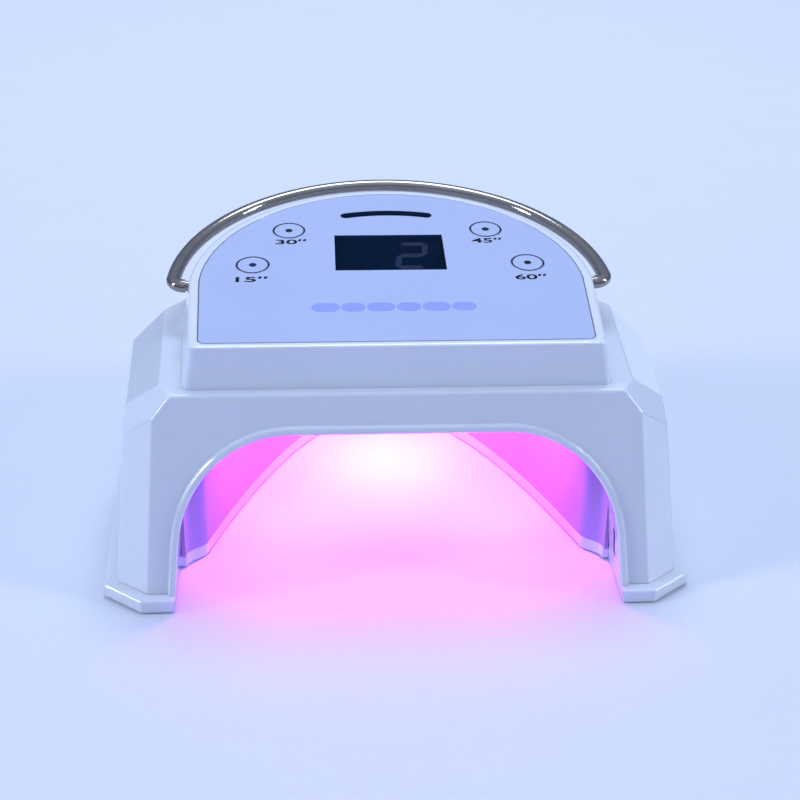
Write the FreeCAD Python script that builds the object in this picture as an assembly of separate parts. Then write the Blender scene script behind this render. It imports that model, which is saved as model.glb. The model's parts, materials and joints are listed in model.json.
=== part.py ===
"""Cordless lamp that cures resin: arched housing, foot frame, lit hand cavity, D-shaped panel, steel bail.

The row frame is +Z up with its origin under the middle of the bounding box. The arched mouth faces -Y.
at(x, y, z) places points by their distance behind the front edge of the foot and above the foot's underside.
"""
import FreeCAD, Part
import math
import os

from FreeCAD import Placement, Rotation, Vector

# Driving dimensions, millimetres
DEPTH = 178.0
FOOT_DROP = 0.6
FLANGE_HEIGHT = 5.0
FLANGE_LIP = 4.4
SHELL_WALL = 2.6
LEDGE_HEIGHT = 75.4
EDGE_ROUND = 1.6

ARCH_HALF = 81.5
ARCH_FOOT_HALF = 83.7
ARCH_ROOF = 61.3
ARCH_CORNER = 41.5
ARCH_LIP = 2.8
ARCH_LIP_PROUD = 1.3
ARCH_LIP_BEVEL = 0.6
TUNNEL_WALL = 1.8
TUNNEL_BACK = 28.0

BELL_APEX_Y = 150.0
BELL_SIDE_Y = 39.0
BELL_SIDE_HALF = 73.0
BELL_MOUTH_HALF = 81.0
CAVITY_ROOF = 62.0
LINER_WALL = 1.6
STRIP_GAP = 0.5
STRIP_WALL = 1.0
STRIP_HALF = 9.0
DRIVER_Y = 153.5

PANEL_FRONT_Y = 36.0
PANEL_FRONT_Z = 92.15
PANEL_TILT = 7.36
PANEL_RADIUS = 75.0
PANEL_BACK_EASE = 2.9
PANEL_FRONT_HALF = 73.0
PANEL_CENTRE_S = 44.5
PANEL_THICK = 2.0
PANEL_GAP = 0.45
PANEL_CORNER = 3.0
RIM = 3.6
RIM_FRONT = 2.7
RIM_ROUND = 1.2
HEAD_SINK = 6.0
HEAD_ROOF_DROP = 4.0
SEAT_WIDTH = 4.0

KEY_RADIUS = 6.45
KEY_GAP = 0.3
KEY_TRAVEL = 0.8
KEY_STOP_GAP = 0.1
KEY_FLANGE = 1.3
KEY_STEM_END = -5.6
KEY_PLACES = {
    "15": (-54.5, 56.6),
    "30": (-40.5, 84.5),
    "45": (40.5, 84.5),
    "60": (54.5, 56.6),
}

WINDOW_HALF = 22.0
WINDOW_S = (51.6, 80.1)
SLIT_RADIUS = 68.2
SLIT_TOP_S = 99.2
SLIT_HALF_ANGLE = 14.4
SLIT_HALF_WIDTH = 2.2
BOARD_LEVEL = -9.0
BOARD_THICK = 1.6
DIGIT_TOP = -1.9
DIGIT_BOTTOM = -2.2
DIGIT_S = 56.6
DIGIT_XS = (-14.8, 3.0)
PANEL_BOSSES = ((34.0, 60.0), (27.0, 91.0))
PANEL_BOSS_RADIUS = 2.6
PANEL_BOSS_BORE = 1.0
TILE_COUNT = 6
TILE_PITCH = 10.5
TILE_S = 24.0
TILE_RADIUS = 3.2
TILE_HALVES = (2.2, 1.4)
TILE_DEPTH = 0.5

PIVOT_Y = 88.0
PIVOT_Z = 92.4
BAIL_RADIUS = 86.0
BAIL_BEND = 5.0
BAIL_IN_PLANE = 2.9
BAIL_ACROSS = 2.5
PIN_RADIUS = 2.0
PIN_END = 67.2
BUSH_SPAN = (71.0, 79.2)
BUSH_RADIUS = 3.4
BUSH_CLEARANCE = 0.06
WASHER_SPAN = (69.2, 70.6)
WASHER_RADIUS = 3.2

LENS_RADIUS = 2.9
LENS_PROUD = 0.6
LENS_CLEARANCE = 0.15
LENS_ROUND = 0.5
SIDE_LAMP_Z = 47.0
SIDE_LAMP_FIRST_Y = 62.0
SIDE_LAMP_PITCH = 15.0
SIDE_LAMP_COUNT = 4
ROOF_LAMP_ROWS = ((46.0, 5), (66.0, 4), (86.0, 3), (106.0, 2))
ROOF_LAMP_PITCH = 22.0
FIN_COUNT = 9
FIN_PITCH = 8.2
FIN_THICK = 1.6

CELL_RADIUS = 9.0
CELL_LENGTH = 65.0
CELL_X = 84.5
CELL_FRONT_Y = 47.0
CELL_LEVELS = (16.6, 35.2)
TRAY_HALF = 8.0
TRAY_END = 1.9
TRAY_FLOOR = 2.2
TRAY_HEIGHT = 36.0

SENSOR_X = (78.0, 88.0)
SENSOR_Y = (15.6, 19.0)
SENSOR_Z = (9.5, 21.5)
SENSOR_GAP = 0.12

INLET_X = 30.0
INLET_Z = 15.0
INLET_RADIUS = 5.5
INLET_BORE = 2.85
INLET_CONTACT = 0.95
INLET_MOUTH_Y = 173.2
INLET_FLOOR_Y = 163.5

VENT_COUNT = 9
VENT_PITCH = 7.0
VENT_HALF = 1.2
VENT_Z = (26.0, 46.0)
REAR_WALL_Y = (160.0, 180.0)

SCREW_PLACES = ((94.0, 24.0), (84.0, 124.0), (50.0, 160.0))
BOSS_RADIUS = 3.8
BOSS_HEIGHT = 20.0
BOSS_RIB_HALF = 0.9
SCREW_BORE = 1.2
SCREW_DEPTH = 14.0
SCREW_SHANK = 1.18
SCREW_HEAD = 3.0
SCREW_HEAD_TOP = 2.4
FOOT_PLACES = ((95.0, 9.0), (66.0, 146.0))
FOOT_PAD = 4.5
FOOT_PAD_TOP = 1.2

BIG = 500.0
FRONT_Y = -DEPTH / 2


# Frames and small helpers

def at(x, y, z):
    """Point x across, y behind the front edge of the foot, z above the foot's underside."""
    return Vector(x, FRONT_Y + y, FOOT_DROP + z)


def mirrored(shape):
    """The same shape on the other side of the middle plane."""
    return shape.mirror(Vector(0, 0, 0), Vector(1, 0, 0))


def block(x0, x1, y0, y1, z0, z1):
    """Box between two corners given in at() coordinates."""
    return Part.makeBox(x1 - x0, y1 - y0, z1 - z0, at(x0, y0, z0))


def post(x, y, z0, z1, radius):
    """Upright cylinder."""
    return Part.makeCylinder(radius, z1 - z0, at(x, y, z0))


def beyond(point, normal):
    """Solid that fills everything on the side of a plane that its normal points to."""
    solid = Part.makeBox(BIG, BIG, BIG, Vector(-BIG / 2, -BIG / 2, 0))
    solid.Placement = Placement(point, Rotation(Vector(0, 0, 1), normal))
    return solid


def facet(a, b, c, outward):
    """Plane through three points as (point, unit normal), turned to face the way outward points."""
    normal = (b - a).cross(c - a)
    normal.normalize()
    if normal.dot(outward) < 0:
        normal = normal * -1
    return a, normal


def panel_frame():
    """Placement whose XY plane is the panel's top face, with s along Y and depth along -Z."""
    origin = at(0, PANEL_FRONT_Y, PANEL_FRONT_Z)
    return Placement(origin, Rotation(Vector(1, 0, 0), PANEL_TILT))


def on_panel(shape):
    """Move a shape built flat at z = 0 onto the tilted panel."""
    placed = shape.copy()
    placed.Placement = panel_frame().multiply(placed.Placement)
    return placed


def panel_post(x, s, top, bottom, radius):
    """Cylinder square to the panel, between two depths."""
    return on_panel(Part.makeCylinder(radius, top - bottom, Vector(x, s, bottom)))


def panel_block(x0, x1, s0, s1, top, bottom):
    """Box square to the panel, between two depths."""
    return on_panel(Part.makeBox(x1 - x0, s1 - s0, top - bottom, Vector(x0, s0, bottom)))


def closed_wire(points, centre_arcs=()):
    """Closed wire through points, with the middle point of an arc given for each arc's first index."""
    arcs = dict(centre_arcs)
    edges = []
    for i, start in enumerate(points):
        end = points[(i + 1) % len(points)]
        if i in arcs:
            edges.append(Part.Arc(start, arcs[i], end).toShape())
        else:
            edges.append(Part.LineSegment(start, end).toShape())
    return Part.Wire(edges)


def rounded(solid, radius, wanted):
    """Round the edges that wanted(edge) picks."""
    edges = [edge for edge in solid.Edges if wanted(edge)]
    return solid.makeFillet(radius, edges)


def bevelled(solid, size, wanted):
    """Bevel the edges that wanted(edge) picks."""
    edges = [edge for edge in solid.Edges if wanted(edge)]
    return solid.makeChamfer(size, edges)


def fused(shapes):
    """One solid from several that touch or overlap."""
    first, rest = shapes[0], list(shapes[1:])
    return first.fuse(rest).removeSplitter() if rest else first


def save(name, shape):
    """Write one node, as its bare solid or as a group of solids."""
    solids = shape.Solids
    shape = solids[0] if len(solids) == 1 else Part.makeCompound(solids)
    shape.exportStep("parts/" + name + ".step")


# Outer form of the housing

def lower_planes():
    """Facets of the lower tier as (point, outward normal), right-hand ones first, then their mirrors."""
    foot = FLANGE_HEIGHT
    front_low = at(93.4, FLANGE_LIP, foot)
    front_high = at(89.4, 25.2, 67.7)
    side_low = at(105.5, 13.6, foot)
    side_high = at(101.0, 32.4, 64.3)
    side_far = at(104.6, 97.9, 64.3)
    ledge_near = at(87.5, 36.9, LEDGE_HEIGHT)
    ledge_front = at(82.8, 27.5, LEDGE_HEIGHT)
    ledge_far = at(91.8, 103.7, LEDGE_HEIGHT)
    rear_low = at(109.9, 107.0, foot)
    rear_end = at(66.0, 167.0, foot)
    along_rear = rear_end - rear_low
    right = Vector(1, 0, 0)
    planes = [
        facet(front_low, front_high, side_low, Vector(1, -1, 0)),
        facet(side_low, side_high, side_far, right),
        facet(side_high, side_far, ledge_near, Vector(1, 0, 1)),
        facet(front_high, ledge_front, ledge_near, Vector(1, -1, 1)),
        facet(rear_low, side_far, rear_end, Vector(1, 1, 0)),
        facet(side_far, ledge_far, side_far + along_rear, Vector(1, 1, 1)),
    ]
    planes += [(Vector(-p.x, p.y, p.z), Vector(-n.x, n.y, n.z)) for p, n in planes]
    planes.append(facet(front_low, at(-93.4, FLANGE_LIP, foot), front_high, Vector(0, -1, 0)))
    rear_top = at(60.0, 168.6, LEDGE_HEIGHT)
    planes.append(facet(rear_top, at(-60.0, 168.6, LEDGE_HEIGHT), at(60.0, 173.6, foot), Vector(0, 1, 0)))
    planes.append((at(0, 0, LEDGE_HEIGHT), Vector(0, 0, 1)))
    return planes


def lower_tier(inset):
    """Faceted lower tier, with every facet moved in by inset and its foot at the top of the flange."""
    low = FLANGE_HEIGHT if inset == 0 else FLANGE_HEIGHT - 1.0
    solid = block(-130, 130, -5, DEPTH + 5, low, LEDGE_HEIGHT + 5)
    for point, normal in lower_planes():
        solid = solid.cut(beyond(point - normal * inset, normal))
    return solid


def d_wire(half, front_half, front_s, centre_s, corner, lift):
    """D outline in flat coordinates: straight front, round front corners, almost a half circle behind."""
    c45 = corner * (1 - math.sqrt(0.5))
    points = [
        Vector(-front_half + corner, front_s, lift),
        Vector(front_half - corner, front_s, lift),
        Vector(front_half, front_s + corner, lift),
        Vector(half, centre_s, lift),
        Vector(-half, centre_s, lift),
        Vector(-front_half, front_s + corner, lift),
    ]
    arcs = {
        1: Vector(front_half - c45, front_s + c45, lift),
        3: Vector(0, centre_s + half - PANEL_BACK_EASE, lift),
        5: Vector(-front_half + c45, front_s + c45, lift),
    }
    return closed_wire(points, arcs)


def d_prism(half, front_half, front_s, corner, top, bottom):
    """Plate with the panel's outline, between two depths below the panel's face."""
    face = Part.Face(d_wire(half, front_half, front_s, PANEL_CENTRE_S, corner, bottom))
    return on_panel(face.extrude(Vector(0, 0, top - bottom)))


def upper_tier(inset, sink):
    """Raised head: lofted from a level D below the ledge up to the tilted D of the rim."""
    foot_z = LEDGE_HEIGHT - sink
    top = d_wire(PANEL_RADIUS + RIM - inset, PANEL_FRONT_HALF + RIM - inset - 0.4,
                 -RIM_FRONT + inset, PANEL_CENTRE_S, 3.0, -inset)
    top = on_panel(top)
    base = d_wire(83.6 - inset, 80.6 - inset, 31.0 + inset, 79.0, 4.0, 0)
    base.Placement = Placement(at(0, 0, foot_z), Rotation())
    return Part.makeLoft([base, top], True, True)


def arch_face(grow, y):
    """Mouth profile in an upright plane: straight legs that run into big round corners, and a flat roof."""
    centre_x = ARCH_HALF - ARCH_CORNER
    centre_z = ARCH_ROOF - ARCH_CORNER
    below = 3.0
    out_x, out_z = ARCH_FOOT_HALF - centre_x, -below - centre_z
    lean = math.atan2(out_z, out_x) + math.acos(ARCH_CORNER / math.hypot(out_x, out_z))
    reach = ARCH_CORNER + grow
    foot_x = ARCH_FOOT_HALF + grow / math.cos(lean)

    def corner(side, angle):
        return at(side * (centre_x + reach * math.cos(angle)), y, centre_z + reach * math.sin(angle))

    middle = (lean + math.pi / 2) / 2
    points = [
        at(-foot_x, y, -below), at(foot_x, y, -below),
        corner(1, lean), corner(1, math.pi / 2), corner(-1, math.pi / 2), corner(-1, lean),
    ]
    return Part.Face(closed_wire(points, {2: corner(1, middle), 4: corner(-1, middle)}))


def arch_prism(grow, y0, y1):
    """The mouth profile drawn out front to back."""
    return arch_face(grow, y0).extrude(Vector(0, y1 - y0, 0))


def bell_face(grow, z):
    """Plan of the hand cavity, moved out by grow: two short S bends, then a parabola round the back."""
    slope = 2 * (BELL_APEX_Y - BELL_SIDE_Y) / BELL_SIDE_HALF
    knee = 5.0
    mouth_y = TUNNEL_BACK + 0.3

    def spline(poles, count):
        curve = Part.BezierCurve()
        curve.setPoles([at(x, y, z) for x, y in poles])
        points = []
        for i in range(count):
            t = i / (count - 1)
            along = curve.tangent(t)[0]
            points.append(curve.value(t) + Vector(along.y, -along.x, 0) * grow)
        smooth = Part.BSplineCurve()
        smooth.interpolate(points)
        return smooth.toShape()

    bend = [
        (BELL_MOUTH_HALF, mouth_y),
        (BELL_MOUTH_HALF, mouth_y + 6.5),
        (BELL_SIDE_HALF + knee / slope, BELL_SIDE_Y - knee),
        (BELL_SIDE_HALF, BELL_SIDE_Y),
    ]
    back = [
        (BELL_SIDE_HALF, BELL_SIDE_Y),
        (0.0, 2 * BELL_APEX_Y - BELL_SIDE_Y),
        (-BELL_SIDE_HALF, BELL_SIDE_Y),
    ]
    left_bend = [(-x, y) for x, y in reversed(bend)]
    half = BELL_MOUTH_HALF + grow
    front = Part.LineSegment(at(-half, mouth_y, z), at(half, mouth_y, z)).toShape()
    return Part.Face(Part.Wire([front, spline(bend, 7), spline(back, 15), spline(left_bend, 7)]))


def bell_prism(grow, z0, z1):
    """The cavity plan drawn up between two heights."""
    return bell_face(grow, z0).extrude(Vector(0, 0, z1 - z0))


def bell_point(y):
    """Point on the cavity's right-hand wall at y, and the unit normal there that points out of the cavity."""
    k = BELL_SIDE_HALF ** 2 / (BELL_APEX_Y - BELL_SIDE_Y)
    x = math.sqrt((BELL_APEX_Y - y) * k)
    normal = Vector(2 * x, k, 0)
    normal.normalize()
    return x, normal


# Housing

def vent_slots():
    """Upright vent slots through the rear wall."""
    middles = [(i - (VENT_COUNT - 1) / 2) * VENT_PITCH for i in range(VENT_COUNT)]
    return [block(x - VENT_HALF, x + VENT_HALF, *REAR_WALL_Y, *VENT_Z) for x in middles]


def screw_bosses():
    """Posts that take the base screws, each tied to the nearest wall by a rib."""
    past_side = 115.0
    solids = []
    for x, y in SCREW_PLACES:
        tower = post(x, y, FLANGE_HEIGHT, FLANGE_HEIGHT + BOSS_HEIGHT, BOSS_RADIUS)
        rib_top = FLANGE_HEIGHT + BOSS_HEIGHT - 2.0
        beside_cavity = x > 60
        if beside_cavity:
            rib = block(x, past_side, y - BOSS_RIB_HALF, y + BOSS_RIB_HALF, FLANGE_HEIGHT, rib_top)
        else:
            rib = block(x - BOSS_RIB_HALF, x + BOSS_RIB_HALF, y, DEPTH, FLANGE_HEIGHT, rib_top)
        boss = tower.fuse(rib)
        solids += [boss, mirrored(boss)]
    return solids


def housing_shell():
    """Thin white moulding with the mouth, its lip and tunnel, the panel recess and the bail's pivot holes."""
    low = rounded(lower_tier(0), EDGE_ROUND,
                  lambda e: e.CenterOfMass.z > FOOT_DROP + FLANGE_HEIGHT + 0.5)
    head = upper_tier(0, HEAD_SINK)
    rim_plane = at(0, PANEL_FRONT_Y, PANEL_FRONT_Z)
    rim_normal = Rotation(Vector(1, 0, 0), PANEL_TILT).multVec(Vector(0, 0, 1))
    head = rounded(head, RIM_ROUND, lambda e: abs((e.CenterOfMass - rim_plane).dot(rim_normal)) < 0.3)
    outer = low.fuse(head)
    head_roof = beyond(rim_plane - rim_normal * HEAD_ROOF_DROP, rim_normal)
    inner = lower_tier(SHELL_WALL).fuse(upper_tier(SHELL_WALL, HEAD_SINK).cut(head_roof))
    shell = outer.cut(inner)

    front_point, front_normal = lower_planes()[-3]
    ring = arch_prism(ARCH_LIP, -8, 60).cut(arch_prism(0, -9, 61))
    lip = ring.cut(beyond(front_point + front_normal * ARCH_LIP_PROUD, front_normal))
    lip = lip.common(beyond(front_point - front_normal * 1.0, front_normal))

    def on_lip_face(edge):
        proud = (edge.CenterOfMass - front_point).dot(front_normal)
        return abs(proud - ARCH_LIP_PROUD) < 0.01 and edge.CenterOfMass.z > 2.0

    lip = bevelled(lip, ARCH_LIP_BEVEL, on_lip_face)
    tunnel = arch_prism(TUNNEL_WALL, -8, TUNNEL_BACK).cut(arch_prism(0, -9, 61))
    tunnel = tunnel.cut(beyond(front_point, front_normal))
    trim = block(-130, 130, -10, 190, -10, FLANGE_HEIGHT)
    shell = shell.cut(arch_prism(0, -9, 40)).fuse([lip.cut(trim), tunnel.cut(trim)])

    shell = shell.fuse([boss.common(lower_tier(0.6)) for boss in screw_bosses()])
    for x, y in SCREW_PLACES:
        for sign in (1, -1):
            bore = post(sign * x, y, FLANGE_HEIGHT - 1, FLANGE_HEIGHT + SCREW_DEPTH, SCREW_BORE)
            shell = shell.cut(bore)
    shell = shell.cut(d_prism(PANEL_RADIUS, PANEL_FRONT_HALF, 0.0, PANEL_CORNER, 6.0, -PANEL_THICK))
    shell = shell.cut(d_prism(PANEL_RADIUS - SEAT_WIDTH, PANEL_FRONT_HALF - SEAT_WIDTH, SEAT_WIDTH,
                              PANEL_CORNER, 0.0, -8.0))
    for sign in (1, -1):
        shell = shell.cut(pivot_rod(sign, BUSH_SPAN[0] - 1.0, BUSH_SPAN[1] + 4.8, BUSH_RADIUS + 0.02))
        shell = shell.cut(sensor_slot(0.0, sign))
    for slot in vent_slots():
        shell = shell.cut(slot)
    shell = shell.cut(inlet_bore(INLET_RADIUS + 0.1, *REAR_WALL_Y))
    return shell.removeSplitter()


def base_frame():
    """Foot frame: bevelled flange all round, with the bell-shaped cut-out that goes over the hand."""
    outline = [
        at(-95.5, 0, 0), at(95.5, 0, 0), at(110.2, 11.4, 0), at(114.6, 108.6, 0), at(68.4, 178, 0),
        at(-68.4, 178, 0), at(-114.6, 108.6, 0), at(-110.2, 11.4, 0),
    ]
    plate = Part.Face(closed_wire(outline)).extrude(Vector(0, 0, FLANGE_HEIGHT))
    plate = rounded(plate, 0.9, lambda e: e.CenterOfMass.z > FOOT_DROP + FLANGE_HEIGHT - 0.1
                    or abs(e.CenterOfMass.z - FOOT_DROP - FLANGE_HEIGHT / 2) < 0.1)
    plate = plate.cut(bell_prism(0, -1, FLANGE_HEIGHT + 1))
    plate = plate.cut(arch_prism(0, -5, TUNNEL_BACK + 1.5))
    for sign in (1, -1):
        for x, y in SCREW_PLACES:
            plate = plate.cut(post(sign * x, y, -1, FLANGE_HEIGHT + 1, 1.7))
            plate = plate.cut(post(sign * x, y, -1, SCREW_HEAD_TOP, SCREW_HEAD + 0.3))
        for x, y in FOOT_PLACES:
            plate = plate.cut(post(sign * x, y, -1, FOOT_PAD_TOP, FOOT_PAD + 0.1))
    return plate


def side_lamp_ys():
    """Places of the side lamps along the cavity wall."""
    return [SIDE_LAMP_FIRST_Y + SIDE_LAMP_PITCH * i for i in range(SIDE_LAMP_COUNT)]


def roof_lamp_places():
    """Places of the roof lamps, as (x, y)."""
    places = []
    for y, count in ROOF_LAMP_ROWS:
        places += [((i - (count - 1) / 2) * ROOF_LAMP_PITCH, y) for i in range(count)]
    return places


def side_lamp(y, sign, radius, inner, outer):
    """Cylinder square to the cavity's side wall, from inner to outer past the wall's face."""
    x, normal = bell_point(y)
    base = at(x, y, SIDE_LAMP_Z) + normal * inner
    solid = Part.makeCylinder(radius, outer - inner, base, normal)
    return solid if sign > 0 else mirrored(solid)


def reflector_liner():
    """Pale liner of the hand cavity: curved wall and flat roof, with a hole for each lamp."""
    hollow = bell_prism(0, FLANGE_HEIGHT - 1, CAVITY_ROOF)
    skin = bell_prism(LINER_WALL, FLANGE_HEIGHT, CAVITY_ROOF + LINER_WALL)
    liner = skin.cut(hollow).cut(block(-130, 130, -10, TUNNEL_BACK + 0.3, 0, 90))
    hole = LENS_RADIUS + LENS_CLEARANCE
    for x, y in roof_lamp_places():
        liner = liner.cut(post(x, y, CAVITY_ROOF - 1, CAVITY_ROOF + LINER_WALL + 1, hole))
    for sign in (1, -1):
        for y in side_lamp_ys():
            liner = liner.cut(side_lamp(y, sign, hole, -3.0, 4.0))
    return liner


# Lamps

def lamp_board_top():
    """Aluminium board above the cavity roof."""
    low = CAVITY_ROOF + LINER_WALL + STRIP_GAP
    outline = [at(-56, 38, low), at(56, 38, low), at(52, 60, low), at(20, 116, low), at(-20, 116, low),
               at(-52, 60, low)]
    return Part.Face(closed_wire(outline)).extrude(Vector(0, 0, STRIP_WALL))


def lamp_lenses_top():
    """Clear beads of the roof lamps, each with a round nose that shows in the cavity."""
    high = CAVITY_ROOF + LINER_WALL + STRIP_GAP
    beads = []
    for x, y in roof_lamp_places():
        bead = post(x, y, CAVITY_ROOF - LENS_PROUD, high, LENS_RADIUS)
        beads.append(rounded(bead, LENS_ROUND, lambda e: e.CenterOfMass.z < at(0, 0, CAVITY_ROOF).z))
    return Part.makeCompound(beads)


def lamp_strip(sign):
    """Curved lamp board behind the cavity's side wall."""
    near = LINER_WALL + STRIP_GAP
    low, high = SIDE_LAMP_Z - STRIP_HALF, SIDE_LAMP_Z + STRIP_HALF
    band = bell_prism(near + STRIP_WALL, low, high).cut(bell_prism(near, low - 1, high + 1))
    ys = side_lamp_ys()
    stretch = block(10, 100, ys[0] - STRIP_HALF, ys[-1] + STRIP_HALF, low, high)
    return band.common(stretch if sign > 0 else mirrored(stretch))


def lamp_lenses_side(sign):
    """Beads of the lamps in one side wall."""
    reach = LINER_WALL + STRIP_GAP - LENS_CLEARANCE
    return Part.makeCompound([side_lamp(y, sign, LENS_RADIUS, -LENS_PROUD, reach) for y in side_lamp_ys()])


def heat_sink():
    """Finned aluminium block on the roof board."""
    low = CAVITY_ROOF + LINER_WALL + STRIP_GAP + STRIP_WALL
    first = -(FIN_COUNT - 1) * FIN_PITCH / 2 - FIN_THICK / 2
    fins = [block(x, x + FIN_THICK, 48, 84, low + 2.5, low + 11)
            for x in (first + FIN_PITCH * i for i in range(FIN_COUNT))]
    return fused([block(-36, 36, 46, 86, low, low + 2.6)] + fins)


# Panel and keys

def slit_band(grow, top, bottom):
    """Curved band with round ends, square to the panel."""
    centre = Vector(0, SLIT_TOP_S - SLIT_RADIUS, bottom)
    half = SLIT_HALF_WIDTH + grow

    def point(radius, degrees):
        angle = math.radians(degrees)
        return centre + Vector(radius * math.sin(angle), radius * math.cos(angle), 0)

    end = SLIT_HALF_ANGLE
    nose = math.degrees(half / SLIT_RADIUS)
    edges = [
        Part.Arc(point(SLIT_RADIUS + half, -end), point(SLIT_RADIUS + half, 0),
                 point(SLIT_RADIUS + half, end)).toShape(),
        Part.Arc(point(SLIT_RADIUS + half, end), point(SLIT_RADIUS, end + nose),
                 point(SLIT_RADIUS - half, end)).toShape(),
        Part.Arc(point(SLIT_RADIUS - half, end), point(SLIT_RADIUS - half, 0),
                 point(SLIT_RADIUS - half, -end)).toShape(),
        Part.Arc(point(SLIT_RADIUS - half, -end), point(SLIT_RADIUS, -end - nose),
                 point(SLIT_RADIUS + half, -end)).toShape(),
    ]
    return on_panel(Part.Face(Part.Wire(edges)).extrude(Vector(0, 0, top - bottom)))


def panel_bosses():
    """Places of the posts under the panel that carry the control board."""
    return [(sign * x, s) for x, s in PANEL_BOSSES for sign in (1, -1)]


def mark_tiles(grow, bottom):
    """Row of plain capsules inlaid in the panel."""
    tiles = []
    radius = TILE_RADIUS + grow
    for i in range(TILE_COUNT):
        x = (i - (TILE_COUNT - 1) / 2) * TILE_PITCH
        half = TILE_HALVES[i % 2]
        ends = [Part.makeCylinder(radius, -bottom, Vector(x + e * half, TILE_S, bottom)) for e in (1, -1)]
        bar = Part.makeBox(2 * half, 2 * radius, -bottom, Vector(x - half, TILE_S - radius, bottom))
        tiles.append(on_panel(fused([bar] + ends)))
    return tiles


def control_panel():
    """Glossy D-shaped plate with openings for keys, window and slit, and posts for the board."""
    gap = PANEL_GAP
    plate = d_prism(PANEL_RADIUS - gap, PANEL_FRONT_HALF - gap, gap, PANEL_CORNER - gap, 0.0,
                    -PANEL_THICK + 0.02)
    posts = [panel_post(x, s, -1.5, BOARD_LEVEL, PANEL_BOSS_RADIUS) for x, s in panel_bosses()]
    plate = fused([plate] + posts)
    for x, s in panel_bosses():
        plate = plate.cut(panel_post(x, s, -3.5, BOARD_LEVEL - 1, PANEL_BOSS_BORE))
    for x, s in KEY_PLACES.values():
        plate = plate.cut(panel_post(x, s, 1.0, -4.0, KEY_RADIUS + KEY_GAP))
    plate = plate.cut(panel_block(-WINDOW_HALF, WINDOW_HALF, WINDOW_S[0], WINDOW_S[1], 1, -4))
    plate = plate.cut(slit_band(0.0, 1.0, -4.0))
    for tile in mark_tiles(0.0, -TILE_DEPTH):
        plate = plate.cut(tile)
    return plate


def key(x, s):
    """Round push key with a flange that keeps it under the panel, and a stem."""
    cap = panel_post(x, s, 0.0, -3.1, KEY_RADIUS)
    middle = cap.CenterOfMass.z
    cap = rounded(cap, 0.25, lambda e: e.Closed and e.CenterOfMass.z > middle + 1.0)
    flange = panel_post(x, s, -2.4, -3.2, KEY_RADIUS + KEY_FLANGE)
    stem = panel_post(x, s, -3.0, KEY_STEM_END, 2.0)
    return fused([cap, flange, stem])


def tact_switch(x, s):
    """Board switch under a key, with its round actuator."""
    half = 3.0
    actuator_top = KEY_STEM_END - KEY_TRAVEL - KEY_STOP_GAP
    body_top = actuator_top - 0.7
    body = panel_block(x - half, x + half, s - half, s + half, body_top, BOARD_LEVEL)
    return fused([body, panel_post(x, s, actuator_top, body_top - 0.2, 1.7)])


def display_window():
    """Smoked window, flush with the panel."""
    gap = 0.1
    return panel_block(-WINDOW_HALF + gap, WINDOW_HALF - gap, WINDOW_S[0] + gap, WINDOW_S[1] - gap, 0.0, -1.6)


def digit_bars(x0, names):
    """Pointed bars of a seven-part digit, leaning a little to the right."""
    width = 10.2
    half = 9.4
    arm = 1.15
    gap = 0.3
    lean = 0.09
    ends = {
        "a": ((0, 2), (1, 2)), "b": ((1, 1), (1, 2)), "c": ((1, 0), (1, 1)), "d": ((0, 0), (1, 0)),
        "e": ((0, 0), (0, 1)), "f": ((0, 1), (0, 2)), "g": ((0, 1), (1, 1)),
    }
    solids = []
    for name in names:
        (c0, r0), (c1, r1) = ends[name]
        start = Vector(c0 * width, r0 * half, 0)
        end = Vector(c1 * width, r1 * half, 0)
        along = (end - start).normalize()
        across = Vector(-along.y, along.x, 0) * arm
        tip = along * gap
        shoulder = along * (gap + arm)
        ring = [start + tip, start + shoulder - across, end - shoulder - across,
                end - tip, end - shoulder + across, start + shoulder + across]
        points = [Vector(x0 + p.x + lean * p.y, DIGIT_S + p.y, DIGIT_BOTTOM) for p in ring]
        bar = Part.Face(closed_wire(points)).extrude(Vector(0, 0, DIGIT_TOP - DIGIT_BOTTOM))
        solids.append(on_panel(bar))
    return solids


def display_module():
    """Block that carries the digits."""
    return panel_block(-20, 20, 53, 78.6, -2.2, BOARD_LEVEL)


def control_board():
    """Board under the panel."""
    low = BOARD_LEVEL - BOARD_THICK
    outline = [(-64, 44), (64, 44), (64, 62), (46, 94), (30, 104), (-30, 104), (-46, 94), (-64, 62)]
    face = Part.Face(closed_wire([Vector(x, s, low) for x, s in outline]))
    board = on_panel(face.extrude(Vector(0, 0, BOARD_THICK)))
    for x, s in panel_bosses():
        board = board.cut(panel_post(x, s, 0, -15, 1.3))
    return board


def board_screws():
    """Screws that hold the control board to the panel's posts."""
    low = BOARD_LEVEL - BOARD_THICK
    solids = []
    for x, s in panel_bosses():
        solids.append(fused([panel_post(x, s, low, low - 1.4, 2.2), panel_post(x, s, -4.6, low - 0.5, 0.98)]))
    return Part.makeCompound(solids)


def indicator_light():
    """Light bar on the board, under the slit."""
    return panel_block(-19.5, 19.5, 94.4, 101.6, -2.6, BOARD_LEVEL)


# Bail and pivots

def pivot_rod(sign, x0, x1, radius):
    """Cylinder on the bail's axis, between two distances from the middle."""
    return Part.makeCylinder(radius, x1 - x0, at(sign * x0, PIVOT_Y, PIVOT_Z), Vector(sign, 0, 0))


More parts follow.
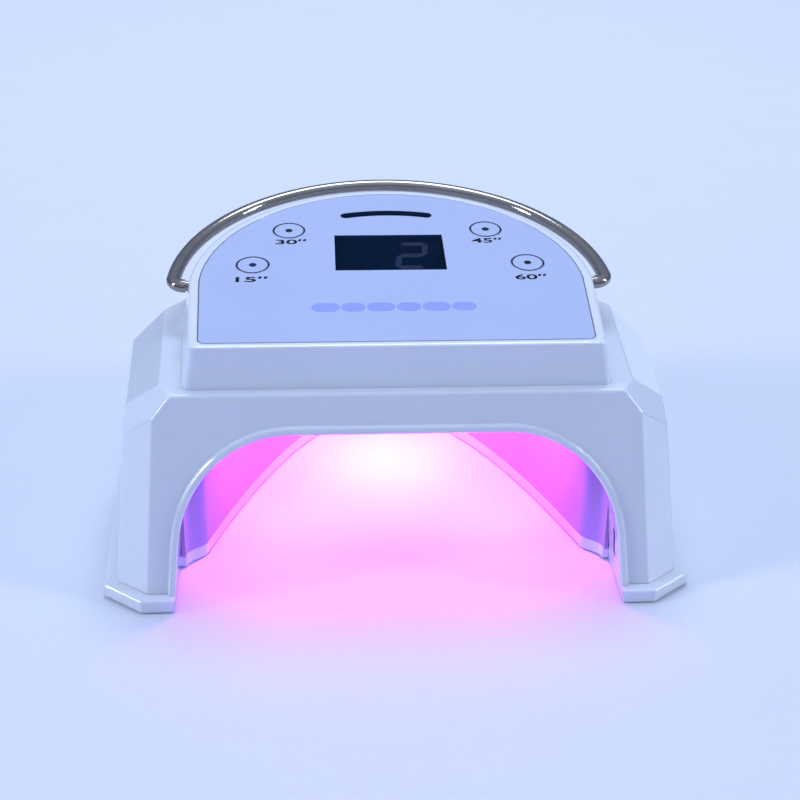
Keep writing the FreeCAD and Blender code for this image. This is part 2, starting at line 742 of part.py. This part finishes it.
def carry_handle():
    """Steel bail: half ring of flattened rod, bent in at both ends and turned down to two pins."""
    frame = Placement(at(0, PIVOT_Y, PIVOT_Z), Rotation(Vector(1, 0, 0), PANEL_TILT))
    bend_x = math.sqrt((BAIL_RADIUS - BAIL_BEND) ** 2 - BAIL_BEND ** 2)
    swing = math.atan2(BAIL_BEND, bend_x)

    def flat(x, t):
        return frame.multVec(Vector(x, t, 0))

    def bend_point(sign, degrees):
        angle = math.radians(degrees)
        return flat(sign * (bend_x + BAIL_BEND * math.cos(angle)), BAIL_BEND + BAIL_BEND * math.sin(angle))

    end_angle = math.degrees(swing)
    start = flat(bend_x, 0)
    ring_right = flat(BAIL_RADIUS * math.cos(swing), BAIL_RADIUS * math.sin(swing))
    ring_left = flat(-BAIL_RADIUS * math.cos(swing), BAIL_RADIUS * math.sin(swing))
    wire = Part.Wire([
        Part.Arc(start, bend_point(1, (end_angle - 90) / 2), ring_right).toShape(),
        Part.Arc(ring_right, flat(0, BAIL_RADIUS), ring_left).toShape(),
        Part.Arc(ring_left, bend_point(-1, (end_angle - 90) / 2), flat(-bend_x, 0)).toShape(),
    ])
    section = Part.Ellipse(Vector(0, 0, 0), BAIL_IN_PLANE, BAIL_ACROSS).toShape()
    section.Placement = Placement(start, frame.Rotation.multiply(Rotation(Vector(0, 0, 1), 90)
                                  .multiply(Rotation(Vector(1, 0, 0), 90))))
    sweep = Part.BRepOffsetAPI.MakePipeShell(wire)
    sweep.setBiNormalMode(frame.Rotation.multVec(Vector(0, 0, 1)))
    sweep.add(Part.Wire([section]))
    sweep.build()
    sweep.makeSolid()
    pins = [pivot_rod(sign, PIN_END, bend_x + 1.0, PIN_RADIUS) for sign in (1, -1)]
    return fused([sweep.shape()] + pins)


def pivot_bush(sign):
    """Nylon bush pressed into the side wall."""
    bush = pivot_rod(sign, *BUSH_SPAN, BUSH_RADIUS)
    return bush.cut(pivot_rod(sign, BUSH_SPAN[0] - 1, BUSH_SPAN[1] + 1, PIN_RADIUS + BUSH_CLEARANCE))


def pivot_washer(sign):
    """Retaining washer on the pin's inner end."""
    washer = pivot_rod(sign, *WASHER_SPAN, WASHER_RADIUS)
    return washer.cut(pivot_rod(sign, WASHER_SPAN[0] - 1, WASHER_SPAN[1] + 1, PIN_RADIUS))


# Power and sensing

def sensor_slot(shrink, sign):
    """Upright slot through the tunnel's leg for the hand sensor."""
    box = block(*SENSOR_X, SENSOR_Y[0] + shrink, SENSOR_Y[1] - shrink,
                SENSOR_Z[0] + shrink, SENSOR_Z[1] - shrink)
    return box if sign > 0 else mirrored(box)


def hand_sensor(sign):
    """Dark window that fills the slot."""
    leg = arch_prism(TUNNEL_WALL, -8, TUNNEL_BACK).cut(arch_prism(0.1, -9, 61))
    return leg.common(sensor_slot(SENSOR_GAP, sign))


def sensor_board(sign):
    """Small board behind the sensor window."""
    board = block(86.6, 88.2, 15.0, 27.0, 6.5, 22.5)
    return board if sign > 0 else mirrored(board)


def battery_cells():
    """Round cells, two beside each leg of the cavity."""
    cells = []
    for sign in (1, -1):
        for z in CELL_LEVELS:
            front = at(sign * CELL_X, CELL_FRONT_Y, z)
            cells.append(Part.makeCylinder(CELL_RADIUS, CELL_LENGTH, front, Vector(0, 1, 0)))
    return Part.makeCompound(cells)


def battery_tray(sign):
    """Tray with two end walls that holds one pair of cells."""
    y0 = CELL_FRONT_Y - TRAY_END - 0.3
    y1 = CELL_FRONT_Y + CELL_LENGTH + TRAY_END + 0.3
    low = FLANGE_HEIGHT + 0.1
    left, right = CELL_X - TRAY_HALF, CELL_X + TRAY_HALF
    floor = block(left, right, y0, y1, low, low + TRAY_FLOOR)
    walls = [block(left, right, y, y + TRAY_END, low, low + TRAY_HEIGHT) for y in (y0, y1 - TRAY_END)]
    tray = fused([floor] + walls)
    return tray if sign > 0 else mirrored(tray)


def driver_board():
    """Upright power board behind the cavity."""
    return block(-44, 44, DRIVER_Y, DRIVER_Y + BOARD_THICK, 8, 56)


def driver_parts():
    """Inductor and capacitors on the power board."""
    face = DRIVER_Y + BOARD_THICK
    solids = [Part.makeCylinder(8, 6, at(-20, face, 30), Vector(0, 1, 0))]
    solids += [Part.makeCylinder(4, 8.5, at(x, face, 46), Vector(0, 1, 0)) for x in (6, 18, 30)]
    return Part.makeCompound(solids)


def inlet_bore(radius, y0, y1):
    """Cylinder on the charging inlet's axis."""
    return Part.makeCylinder(radius, y1 - y0, at(INLET_X, y0, INLET_Z), Vector(0, 1, 0))


def charging_inlet():
    """Barrel socket in the rear wall, with its centre contact."""
    barrel = inlet_bore(INLET_RADIUS, 158.0, INLET_MOUTH_Y)
    root = block(INLET_X - INLET_RADIUS, INLET_X + INLET_RADIUS, 157, 167, 8.5, 21)
    body = fused([barrel, root]).cut(inlet_bore(INLET_BORE, INLET_FLOOR_Y, DEPTH))
    contact = inlet_bore(INLET_CONTACT, INLET_FLOOR_Y - 1.5, INLET_MOUTH_Y - 1.2)
    return fused([body, contact])


def ribbon_cable():
    """Flat ribbon from the power board up to the control board."""
    rise_y = DRIVER_Y - 0.1
    low, knee, high = at(-12, rise_y, 52), at(-12, rise_y, 84), at(-12, 131, 91.5)
    thick = 0.35
    outline = [low, knee, high, high + Vector(0, 0, -thick), knee + Vector(0, -thick, -thick * 0.6),
               low + Vector(0, -thick, 0)]
    return Part.Face(closed_wire(outline)).extrude(Vector(24, 0, 0))


# Fasteners and feet

def base_screws():
    """Screws that hold the foot frame to the housing's bosses."""
    solids = []
    for x, y in SCREW_PLACES:
        for sign in (1, -1):
            head = post(sign * x, y, 0.5, SCREW_HEAD_TOP, SCREW_HEAD)
            slot = block(sign * x - 2, sign * x + 2, y - 0.35, y + 0.35, 0, 1.2)
            shank = post(sign * x, y, SCREW_HEAD_TOP - 0.1, 15, SCREW_SHANK)
            solids.append(fused([head.cut(slot), shank]))
    return Part.makeCompound(solids)


def rubber_feet():
    """Round pads let into the foot frame."""
    pads = []
    for x, y in FOOT_PLACES:
        for sign in (1, -1):
            pads.append(post(sign * x, y, -FOOT_DROP, FOOT_PAD_TOP, FOOT_PAD))
    return Part.makeCompound(pads)


def main():
    os.makedirs("parts", exist_ok=True)
    nodes = {
        "housing_shell": housing_shell(),
        "base_frame": base_frame(),
        "reflector_liner": reflector_liner(),
        "control_panel": control_panel(),
        "display_window": display_window(),
        "display_module": display_module(),
        "digit_bars_lit": Part.makeCompound(digit_bars(DIGIT_XS[1], "abged")),
        "digit_bars_dark": Part.makeCompound(digit_bars(DIGIT_XS[0], "abcdefg")
                                             + digit_bars(DIGIT_XS[1], "cf")),
        "indicator_lens": slit_band(-0.1, 0.0, -2.0),
        "indicator_light": indicator_light(),
        "mark_tiles": Part.makeCompound(mark_tiles(-0.02, 0.02 - TILE_DEPTH)),
        "control_board": control_board(),
        "board_screws": board_screws(),
        "lamp_board_top": lamp_board_top(),
        "lamp_lenses_top": lamp_lenses_top(),
        "heat_sink": heat_sink(),
        "battery_cells": battery_cells(),
        "driver_board": driver_board(),
        "driver_parts": driver_parts(),
        "charging_inlet": charging_inlet(),
        "ribbon_cable": ribbon_cable(),
        "carry_handle": carry_handle(),
        "base_screws": base_screws(),
        "rubber_feet": rubber_feet(),
    }
    for label, (x, s) in KEY_PLACES.items():
        nodes["key_" + label + "s"] = key(x, s)
        nodes["tact_switch_" + label + "s"] = tact_switch(x, s)
    for sign, side in ((1, "right"), (-1, "left")):
        nodes["lamp_strip_" + side] = lamp_strip(sign)
        nodes["lamp_lenses_" + side] = lamp_lenses_side(sign)
        nodes["pivot_bush_" + side] = pivot_bush(sign)
        nodes["pivot_washer_" + side] = pivot_washer(sign)
        nodes["hand_sensor_" + side] = hand_sensor(sign)
        nodes["sensor_board_" + side] = sensor_board(sign)
        nodes["battery_tray_" + side] = battery_tray(sign)
    for name, shape in nodes.items():
        box = shape.BoundBox
        print(name, "solids", len(shape.Solids), "valid", shape.isValid(), "volume", round(shape.Volume),
              "y", round(box.YMin, 1), round(box.YMax, 1), "z", round(box.ZMin, 1), round(box.ZMax, 1))
        save(name, shape)


main()
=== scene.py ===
"""Looks of the curing lamp: finishes for the CAD nodes, printed details, glow, floor and camera."""

import json
import math

import bmesh
import bpy
from mathutils import Matrix, Vector


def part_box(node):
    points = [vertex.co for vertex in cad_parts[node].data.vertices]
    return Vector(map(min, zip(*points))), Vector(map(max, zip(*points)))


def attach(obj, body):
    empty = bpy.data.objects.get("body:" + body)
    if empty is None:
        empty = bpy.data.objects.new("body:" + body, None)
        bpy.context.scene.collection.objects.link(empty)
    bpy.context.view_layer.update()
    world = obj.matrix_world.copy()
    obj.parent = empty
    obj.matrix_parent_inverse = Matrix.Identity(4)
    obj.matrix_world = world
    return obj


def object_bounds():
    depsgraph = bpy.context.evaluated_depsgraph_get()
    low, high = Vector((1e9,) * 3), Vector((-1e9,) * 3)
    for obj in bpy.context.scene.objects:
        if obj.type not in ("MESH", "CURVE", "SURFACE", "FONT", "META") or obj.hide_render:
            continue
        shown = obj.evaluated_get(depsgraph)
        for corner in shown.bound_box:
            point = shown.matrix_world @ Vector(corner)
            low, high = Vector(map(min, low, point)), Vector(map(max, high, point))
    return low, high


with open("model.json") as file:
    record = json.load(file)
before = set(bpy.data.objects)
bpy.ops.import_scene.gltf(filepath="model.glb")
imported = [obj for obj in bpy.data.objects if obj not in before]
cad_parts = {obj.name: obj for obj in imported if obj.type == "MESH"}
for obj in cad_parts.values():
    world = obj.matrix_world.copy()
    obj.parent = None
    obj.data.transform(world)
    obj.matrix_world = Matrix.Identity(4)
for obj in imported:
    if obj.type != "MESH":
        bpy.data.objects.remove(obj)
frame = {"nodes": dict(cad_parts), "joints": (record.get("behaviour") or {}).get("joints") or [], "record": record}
cad_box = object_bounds()

MM = 0.001

# The camera's place and aim, solved from the object's mirror symmetry
CAMERA_AT = Vector((-29.0, -516.0, 314.6)) * MM
CAMERA_PITCH = math.radians(27.93)
CAMERA_YAW = math.radians(3.69)
CAMERA_ROLL = math.radians(-0.9)
CAMERA_LENS = 63.63
SENSOR_WIDTH = 36.0
NEAREST_SEEN = 10 * MM

# Near-violet light of the lamps: dim parts of the picture stay violet, bright ones wash to pink and white
LAMP_GLOW = (0.42, 0.07, 1.0)

# Each key's label, and where its numerals lie from its middle: across, and down the slope
KEYS = {
    "15": (0.0, -13.2 * MM),
    "30": (1.0 * MM, -11.5 * MM),
    "45": (-0.4 * MM, -11.5 * MM),
    "60": (0.0, -13.2 * MM),
}
KEY_RADIUS = 6.45 * MM
RING_MARGIN = 0.05 * MM
RING_WIDTH = 0.5 * MM
DOT_RADIUS = 1.45 * MM
INK_HEIGHT = 0.06 * MM
NUMERAL_WIDTH = 12.5 * MM
NUMERAL_HEIGHT = 4.0 * MM
NUMERAL_BOLDNESS = 0.018
SECONDS_MARK = "\u2033"
OUTLINE_JOIN = 1e-5
FACE_TOLERANCE = 0.02 * MM
SHARP_ABOVE = math.radians(28)

# Surface detail: fine bump, and the radius that the white moulding's edges are shaded with
BUMP_DEPTH = 0.4 * MM
DRAWN_LINE_DEPTH = 0.2 * MM
CLOUD_SCALE = 22.0
COAT_ROUGHNESS = 0.04
EDGE_ROUND = 0.9 * MM
EDGE_SAMPLES = 6


# Materials

def new_material(name):
    """Empty material with a Principled shader; returns (material, nodes, links, shader)."""
    material = bpy.data.materials.new(name)
    material.use_nodes = True
    tree = material.node_tree
    shader = tree.nodes["Principled BSDF"]
    return material, tree.nodes, tree.links, shader


def noise(nodes, links, scale, detail=4.0, stretch=(1.0, 1.0, 1.0)):
    """Noise factor in object space; scale is in repeats per metre."""
    coords = nodes.new("ShaderNodeTexCoord")
    mapping = nodes.new("ShaderNodeMapping")
    mapping.inputs["Scale"].default_value = stretch
    texture = nodes.new("ShaderNodeTexNoise")
    texture.inputs["Scale"].default_value = scale
    texture.inputs["Detail"].default_value = detail
    links.new(coords.outputs["Object"], mapping.inputs["Vector"])
    links.new(mapping.outputs["Vector"], texture.inputs["Vector"])
    return texture.outputs["Fac"]


def ramp(nodes, links, factor, low, high, start=0.3, end=0.7):
    """Colour that runs from low to high with a factor."""
    node = nodes.new("ShaderNodeValToRGB")
    node.color_ramp.elements[0].position = start
    node.color_ramp.elements[1].position = end
    node.color_ramp.elements[0].color = (*low, 1.0)
    node.color_ramp.elements[1].color = (*high, 1.0)
    links.new(factor, node.inputs["Fac"])
    return node.outputs["Color"]


def spread(nodes, links, factor, low, high):
    """Number that runs from low to high with a factor."""
    node = nodes.new("ShaderNodeMapRange")
    node.inputs["To Min"].default_value = low
    node.inputs["To Max"].default_value = high
    links.new(factor, node.inputs["Value"])
    return node.outputs["Result"]


def bump(nodes, links, height, strength, distance, shader, under=None):
    """Bump on the shader's normal, or on top of another normal."""
    node = nodes.new("ShaderNodeBump")
    node.inputs["Strength"].default_value = strength
    node.inputs["Distance"].default_value = distance
    links.new(height, node.inputs["Height"])
    if under:
        links.new(under, node.inputs["Normal"])
    links.new(node.outputs["Normal"], shader.inputs["Normal"])


def moulded(name, colour, rough, grain=900.0, depth=0.02, coat=0.0, shift=0.03, shine=0.5,
             edge=0.0):
    """Moulded or coated surface: faint cloudy colour, uneven gloss, fine bump, edges shaded as rounds."""
    material, nodes, links, shader = new_material(name)
    cloud = noise(nodes, links, CLOUD_SCALE)
    fine = noise(nodes, links, grain, 2.0)
    low = tuple(c * (1.0 - shift) for c in colour)
    links.new(ramp(nodes, links, cloud, low, colour), shader.inputs["Base Color"])
    links.new(spread(nodes, links, fine, rough * 0.8, rough * 1.25), shader.inputs["Roughness"])
    rounded = None
    if edge:
        corner = nodes.new("ShaderNodeBevel")
        corner.samples = EDGE_SAMPLES
        corner.inputs["Radius"].default_value = edge
        rounded = corner.outputs["Normal"]
        links.new(rounded, shader.inputs["Coat Normal"])
    bump(nodes, links, fine, depth, BUMP_DEPTH, shader, rounded)
    shader.inputs["Specular IOR Level"].default_value = shine
    shader.inputs["Coat Weight"].default_value = coat
    shader.inputs["Coat Roughness"].default_value = COAT_ROUGHNESS
    return material


def steel(name, colour, rough, stretch):
    """Polished metal with fine drawn lines along one axis."""
    material, nodes, links, shader = new_material(name)
    lines = noise(nodes, links, 260.0, 3.0, stretch)
    cloud = noise(nodes, links, 30.0)
    low = tuple(c * 0.86 for c in colour)
    links.new(ramp(nodes, links, cloud, low, colour), shader.inputs["Base Color"])
    links.new(spread(nodes, links, lines, rough * 0.6, rough * 1.5), shader.inputs["Roughness"])
    bump(nodes, links, lines, 0.03, DRAWN_LINE_DEPTH, shader)
    shader.inputs["Metallic"].default_value = 1.0
    return material


def smoked(name):
    """Dark see-through plastic with a glossy face and a faint blue emission, which is painted glow: the plastic
    gives no light.
    """
    material, nodes, links, shader = new_material(name)
    cloud = noise(nodes, links, 35.0)
    links.new(ramp(nodes, links, cloud, (0.035, 0.14, 0.29), (0.045, 0.16, 0.33)),
              shader.inputs["Base Color"])
    fine = noise(nodes, links, 600.0, 2.0)
    links.new(spread(nodes, links, fine, 0.02, 0.06), shader.inputs["Roughness"])
    shader.inputs["Transmission Weight"].default_value = 1.0
    # Painted glow: faint blue emission on plastic that is no lamp
    links.new(ramp(nodes, links, cloud, (0.0, 0.003, 0.010), (0.0, 0.004, 0.014)),
              shader.inputs["Emission Color"])
    shader.inputs["Emission Strength"].default_value = 1.0
    shader.inputs["IOR"].default_value = 1.08
    shader.inputs["Specular Tint"].default_value = (0.08, 0.5, 1.0, 1.0)
    return material


def glowing(name, colour, glow, strength, patch=0.25):
    """Lit lens or bar: its glow is brighter in patches."""
    material, nodes, links, shader = new_material(name)
    cloud = noise(nodes, links, 500.0, 2.0)
    links.new(ramp(nodes, links, cloud, colour, tuple(min(1.0, c * 1.1) for c in colour)),
              shader.inputs["Base Color"])
    links.new(ramp(nodes, links, cloud, tuple(c * (1.0 - patch) for c in glow), glow),
              shader.inputs["Emission Color"])
    links.new(spread(nodes, links, cloud, 0.1, 0.25), shader.inputs["Roughness"])
    shader.inputs["Emission Strength"].default_value = strength
    return material


def board(name):
    """Green lacquered board with fine darker tracks."""
    material, nodes, links, shader = new_material(name)
    coords = nodes.new("ShaderNodeTexCoord")
    brick = nodes.new("ShaderNodeTexBrick")
    brick.inputs["Scale"].default_value = 160.0
    brick.inputs["Mortar Size"].default_value = 0.06
    brick.inputs["Color1"].default_value = (0.02, 0.17, 0.07, 1.0)
    brick.inputs["Color2"].default_value = (0.015, 0.14, 0.06, 1.0)
    brick.inputs["Mortar"].default_value = (0.05, 0.28, 0.12, 1.0)
    links.new(coords.outputs["Object"], brick.inputs["Vector"])
    links.new(brick.outputs["Color"], shader.inputs["Base Color"])
    fine = noise(nodes, links, 700.0, 2.0)
    links.new(spread(nodes, links, fine, 0.25, 0.4), shader.inputs["Roughness"])
    return material


WHITE = moulded("moulded_white", (0.72, 0.76, 0.86), 0.12, coat=1.0, edge=EDGE_ROUND)
PANEL = moulded("panel_lacquer", (0.44, 0.51, 0.76), 0.09, depth=0.008, coat=0.4)
INK = moulded("printed_ink", (0.004, 0.007, 0.02), 0.45, shift=0.2, shine=0.12)
INK_BLUE = moulded("printed_ink_blue", (0.006, 0.008, 0.12), 0.45, shift=0.2, shine=0.12)

FINISHES = {
    "white_gloss": WHITE,
    "panel_gloss": PANEL,
    # The liner is white; its dark violet-pink colour is painted shade and painted lamp tint on the cavity walls
    "liner_white": moulded("liner_white", (0.37, 0.29, 0.42), 0.40, depth=0.004, shine=0.2),
    "smoked_window": smoked("smoked_window"),
    "black_plastic": moulded("black_plastic", (0.02, 0.02, 0.025), 0.45, depth=0.08, shift=0.3),
    "digit_lit": glowing("digit_lit", (0.14, 0.09, 0.13), (1.0, 0.30, 0.32), 0.55),
    "digit_dark": moulded("digit_dark", (0.020, 0.024, 0.04), 0.5, shift=0.3),
    "violet_tint": moulded("violet_inlay", (0.29, 0.36, 0.96), 0.2, coat=0.4, shift=0.12),
    "circuit_board": board("circuit_board"),
    "aluminium": steel("satin_aluminium", (0.75, 0.76, 0.78), 0.32, (1.0, 12.0, 1.0)),
    "lamp_bead": glowing("lamp_bead", (0.9, 0.8, 1.0), LAMP_GLOW, 8.0),
    "cell_wrap": moulded("cell_wrap", (0.03, 0.10, 0.42), 0.22, coat=0.3, shift=0.1),
    "grey_ribbon": moulded("grey_ribbon", (0.40, 0.40, 0.42), 0.5, depth=0.1, shift=0.1),
    # The steel's dark olive colour is painted reflection: it stands in for the dark surroundings the bail mirrors
    "polished_steel": steel("polished_steel", (0.34, 0.315, 0.285), 0.08, (1.0, 1.0, 8.0)),
    "nylon": moulded("nylon", (0.80, 0.80, 0.77), 0.4, shift=0.05),
    "zinc_screw": steel("zinc_screw", (0.62, 0.62, 0.60), 0.3, (6.0, 1.0, 1.0)),
    "foot_rubber": moulded("foot_rubber", (0.07, 0.07, 0.08), 0.8, depth=0.3, shift=0.25),
}


def finish_nodes():
    """Each CAD node takes the finish of its material slot and is shaded smooth across its rounds."""
    slots = {entry["node"]: entry["material_slot"] for entry in frame["record"]["subparts"]}
    for name, obj in frame["nodes"].items():
        obj.data.materials.clear()
        obj.data.materials.append(FINISHES[slots[name]])
        obj.data.shade_smooth()
        obj.data.set_sharp_from_angle(angle=SHARP_ABOVE)


# Panel frame and the details that lie on it

def press_axis():
    """Unit vector square to the panel, pointing out of it, from a key's own slide."""
    joint = next(j for j in frame["joints"] if j["name"].startswith("press_key_"))
    return -Vector(joint["axis"]).normalized()


OUT = press_axis()
ACROSS = Vector((1, 0, 0))
UP_PANEL = OUT.cross(ACROSS)


def face_centre(node):
    """Middle of a node's outermost face on the panel's side."""
    points = [v.co.copy() for v in frame["nodes"][node].data.vertices]
    top = max(p.dot(OUT) for p in points)
    rim = [p for p in points if top - p.dot(OUT) < FACE_TOLERANCE]
    xs = [p.dot(ACROSS) for p in rim]
    ys = [p.dot(UP_PANEL) for p in rim]
    return ACROSS * (min(xs) + max(xs)) / 2 + UP_PANEL * (min(ys) + max(ys)) / 2 + OUT * top


def on_panel(origin, x, y, lift):
    """Point on the panel's face, x across and y up the slope from origin."""
    return origin + ACROSS * x + UP_PANEL * y + OUT * lift


def new_piece(name, mesh, material, body):
    """Link a mesh as a piece that rides on a body."""
    obj = bpy.data.objects.new(name, mesh)
    bpy.context.scene.collection.objects.link(obj)
    mesh.materials.append(material)
    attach(obj, body)
    return obj


def plate_mesh(name, rings, origin, thick):
    """Thin raised plate for each closed ring of (x, y); a pair of rings makes a band."""
    work = bmesh.new()
    for ring in rings:
        outer, inner = ring if isinstance(ring, tuple) else (ring, None)
        if inner is None:
            low = [work.verts.new(on_panel(origin, x, y, 0)) for x, y in outer]
            high = [work.verts.new(on_panel(origin, x, y, thick)) for x, y in outer]
            work.faces.new(high)
            work.faces.new(list(reversed(low)))
            join_rings(work, low, high)
        else:
            rows = [[work.verts.new(on_panel(origin, x, y, lift)) for x, y in loop]
                    for loop, lift in ((outer, 0), (outer, thick), (inner, thick), (inner, 0))]
            for a, b in zip(rows, rows[1:] + rows[:1]):
                join_rings(work, a, b)
    mesh = bpy.data.meshes.new(name)
    bmesh.ops.recalc_face_normals(work, faces=work.faces)
    work.to_mesh(mesh)
    work.free()
    return mesh


def join_rings(work, low, high):
    """Quads between two rings of the same length."""
    for i in range(len(low)):
        j = (i + 1) % len(low)
        work.faces.new((low[i], low[j], high[j], high[i]))


def circle(radius, count=64):
    """Closed ring of points."""
    turn = 2 * math.pi / count
    return [(radius * math.cos(i * turn), radius * math.sin(i * turn)) for i in range(count)]


def key_prints():
    """Thin dark ring and centre dot on every key, riding with it."""
    for label in KEYS:
        node = "key_" + label + "s"
        centre = face_centre(node)
        ring_radius = KEY_RADIUS - RING_MARGIN
        ring = (circle(ring_radius), circle(ring_radius - RING_WIDTH))
        body = node + "_body"
        ring_mesh = plate_mesh(node + "_ring", [ring], centre, INK_HEIGHT)
        new_piece(node + "_ring", ring_mesh, INK, body)
        dot_mesh = plate_mesh(node + "_dot", [circle(DOT_RADIUS, 32)], centre, INK_HEIGHT)
        new_piece(node + "_dot", dot_mesh, INK_BLUE if label == "15" else INK, body)


def numeral_mesh(name, text, origin, width, height, thick):
    """Flat bold numerals with a seconds mark, stretched to a width and height on the panel."""
    curve = bpy.data.curves.new(name, "FONT")
    curve.body = text
    curve.offset = NUMERAL_BOLDNESS
    curve.align_x = "CENTER"
    obj = bpy.data.objects.new(name, curve)
    bpy.context.scene.collection.objects.link(obj)
    flat = bpy.data.meshes.new_from_object(obj.evaluated_get(bpy.context.evaluated_depsgraph_get()))
    bpy.data.objects.remove(obj)
    work = bmesh.new()
    work.from_mesh(flat)
    bpy.data.meshes.remove(flat)
    bmesh.ops.remove_doubles(work, verts=work.verts, dist=OUTLINE_JOIN)
    xs = [v.co.x for v in work.verts]
    ys = [v.co.y for v in work.verts]
    wide, tall = width / (max(xs) - min(xs)), height / (max(ys) - min(ys))
    mid = (max(xs) + min(xs)) / 2
    for v in work.verts:
        v.co = on_panel(origin, (v.co.x - mid) * wide, (v.co.y - min(ys)) * tall, 0)
    extruded = bmesh.ops.extrude_face_region(work, geom=list(work.faces))["geom"]
    raised = [part for part in extruded if isinstance(part, bmesh.types.BMVert)]
    bmesh.ops.translate(work, verts=raised, vec=OUT * thick)
    bmesh.ops.recalc_face_normals(work, faces=work.faces)
    mesh = bpy.data.meshes.new(name)
    work.to_mesh(mesh)
    work.free()
    return mesh


def key_numerals():
    """Seconds printed on the panel below each key."""
    for label, (across, down) in KEYS.items():
        origin = on_panel(face_centre("key_" + label + "s"), across, down, 0)
        name = "numeral_" + label
        mesh = numeral_mesh(name, label + SECONDS_MARK, origin, NUMERAL_WIDTH, NUMERAL_HEIGHT, INK_HEIGHT)
        new_piece(name, mesh, INK, "lamp")


finish_nodes()
key_prints()
key_numerals()

# Floor, lights and camera

HORIZON = (0.13, 0.18, 0.36)
ZENITH = (0.62, 0.72, 1.0)
SKY_STRENGTH = 0.75
SKY_FULL_AT = 0.8
FLOOR_HALF = 3.0
FLOOR_GRAIN = 300.0
COOL = (0.76, 0.86, 1.0)

# Studio lights: name, place, aim, width, height, watts
STUDIO_LIGHTS = (
    ("overhead", (0.1, 1.0, 1.9), (0.0, 1.3, 0.0), 0.9, 0.9, 22.5),
    ("zenith", (0.0, -0.1, 2.0), (0.0, 0.0, 0.0), 1.5, 1.5, 2.5),
    ("strip_left", (-2.2, -0.4, 1.1), (0.0, 0.0, 0.05), 0.25, 1.2, 25.0),
    ("strip_right", (2.2, -0.4, 1.1), (0.0, 0.0, 0.05), 0.25, 1.2, 19.0),
)

# Lights under the cavity's roof: across, behind the liner's front edge, size, watts, width of beam
ROOF_GAP = 3.5 * MM
ROOF_LAMPS = (
    (0.0, 86 * MM, 40 * MM, 0.46, math.radians(144)),
    (-46 * MM, 31 * MM, 20 * MM, 0.13, math.radians(128)),
    (46 * MM, 31 * MM, 20 * MM, 0.13, math.radians(128)),
)


def floor():
    """Large pale sheet under the lamp."""
    work = bmesh.new()
    bmesh.ops.create_grid(work, x_segments=8, y_segments=8, size=FLOOR_HALF)
    mesh = bpy.data.meshes.new("floor")
    work.to_mesh(mesh)
    work.free()
    obj = bpy.data.objects.new("floor", mesh)
    obj.location = (0, 0, cad_box[0].z)
    bpy.context.scene.collection.objects.link(obj)
    mesh.materials.append(moulded("floor_paper", (0.66, 0.69, 0.79), 0.55, grain=FLOOR_GRAIN, shift=0.01))


def area_light(name, place, aim, width, height, power, colour):
    """Rectangular soft light at place, facing aim."""
    data = bpy.data.lights.new(name, "AREA")
    data.shape = "RECTANGLE"
    data.size = width
    data.size_y = height
    data.energy = power
    data.color = colour
    obj = bpy.data.objects.new(name, data)
    obj.location = place
    obj.rotation_euler = (Vector(aim) - Vector(place)).to_track_quat("-Z", "Y").to_euler()
    bpy.context.scene.collection.objects.link(obj)
    return data


def studio_world():
    """Pale blue sky that darkens towards the horizon, so upright faces come out darker than ledges."""
    world = bpy.data.worlds.new("studio")
    bpy.context.scene.world = world
    world.use_nodes = True
    nodes, links = world.node_tree.nodes, world.node_tree.links
    coords = nodes.new("ShaderNodeTexCoord")
    axes = nodes.new("ShaderNodeSeparateXYZ")
    links.new(coords.outputs["Generated"], axes.inputs["Vector"])
    sky = ramp(nodes, links, axes.outputs["Z"], HORIZON, ZENITH, 0.0, SKY_FULL_AT)
    links.new(sky, nodes["Background"].inputs["Color"])
    nodes["Background"].inputs["Strength"].default_value = SKY_STRENGTH


def lights():
    """Cool studio light from above, from behind and from both sides, and violet light in the cavity."""
    studio_world()
    for name, place, aim, width, height, watts in STUDIO_LIGHTS:
        area_light(name, place, aim, width, height, watts, COOL)
    low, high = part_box("reflector_liner")
    for across, behind, size, watts, beam in ROOF_LAMPS:
        place = (across, low.y + behind, high.z - ROOF_GAP)
        floor_point = (place[0], place[1], 0)
        lamp = area_light("cavity_lamp", place, floor_point, size, size, watts, LAMP_GLOW)
        lamp.spread = beam


def camera():
    """Camera at the solved place, aimed by pitch, yaw and roll."""
    forward = Vector((math.sin(CAMERA_YAW) * math.cos(CAMERA_PITCH),
                      math.cos(CAMERA_YAW) * math.cos(CAMERA_PITCH), -math.sin(CAMERA_PITCH)))
    right = Vector((math.cos(CAMERA_YAW), -math.sin(CAMERA_YAW), 0))
    down = forward.cross(right)
    cos_roll, sin_roll = math.cos(CAMERA_ROLL), math.sin(CAMERA_ROLL)
    right, down = right * cos_roll + down * sin_roll, down * cos_roll - right * sin_roll
    data = bpy.data.cameras.new("camera")
    data.sensor_width = SENSOR_WIDTH
    data.lens = CAMERA_LENS
    data.clip_start = NEAREST_SEEN
    obj = bpy.data.objects.new("camera", data)
    turn = Matrix((right, -down, -forward)).transposed()
    obj.matrix_world = Matrix.Translation(CAMERA_AT) @ turn.to_4x4()
    bpy.context.scene.collection.objects.link(obj)
    bpy.context.scene.camera = obj


floor()
lights()
camera()
bpy.context.scene.view_settings.view_transform = "Standard"
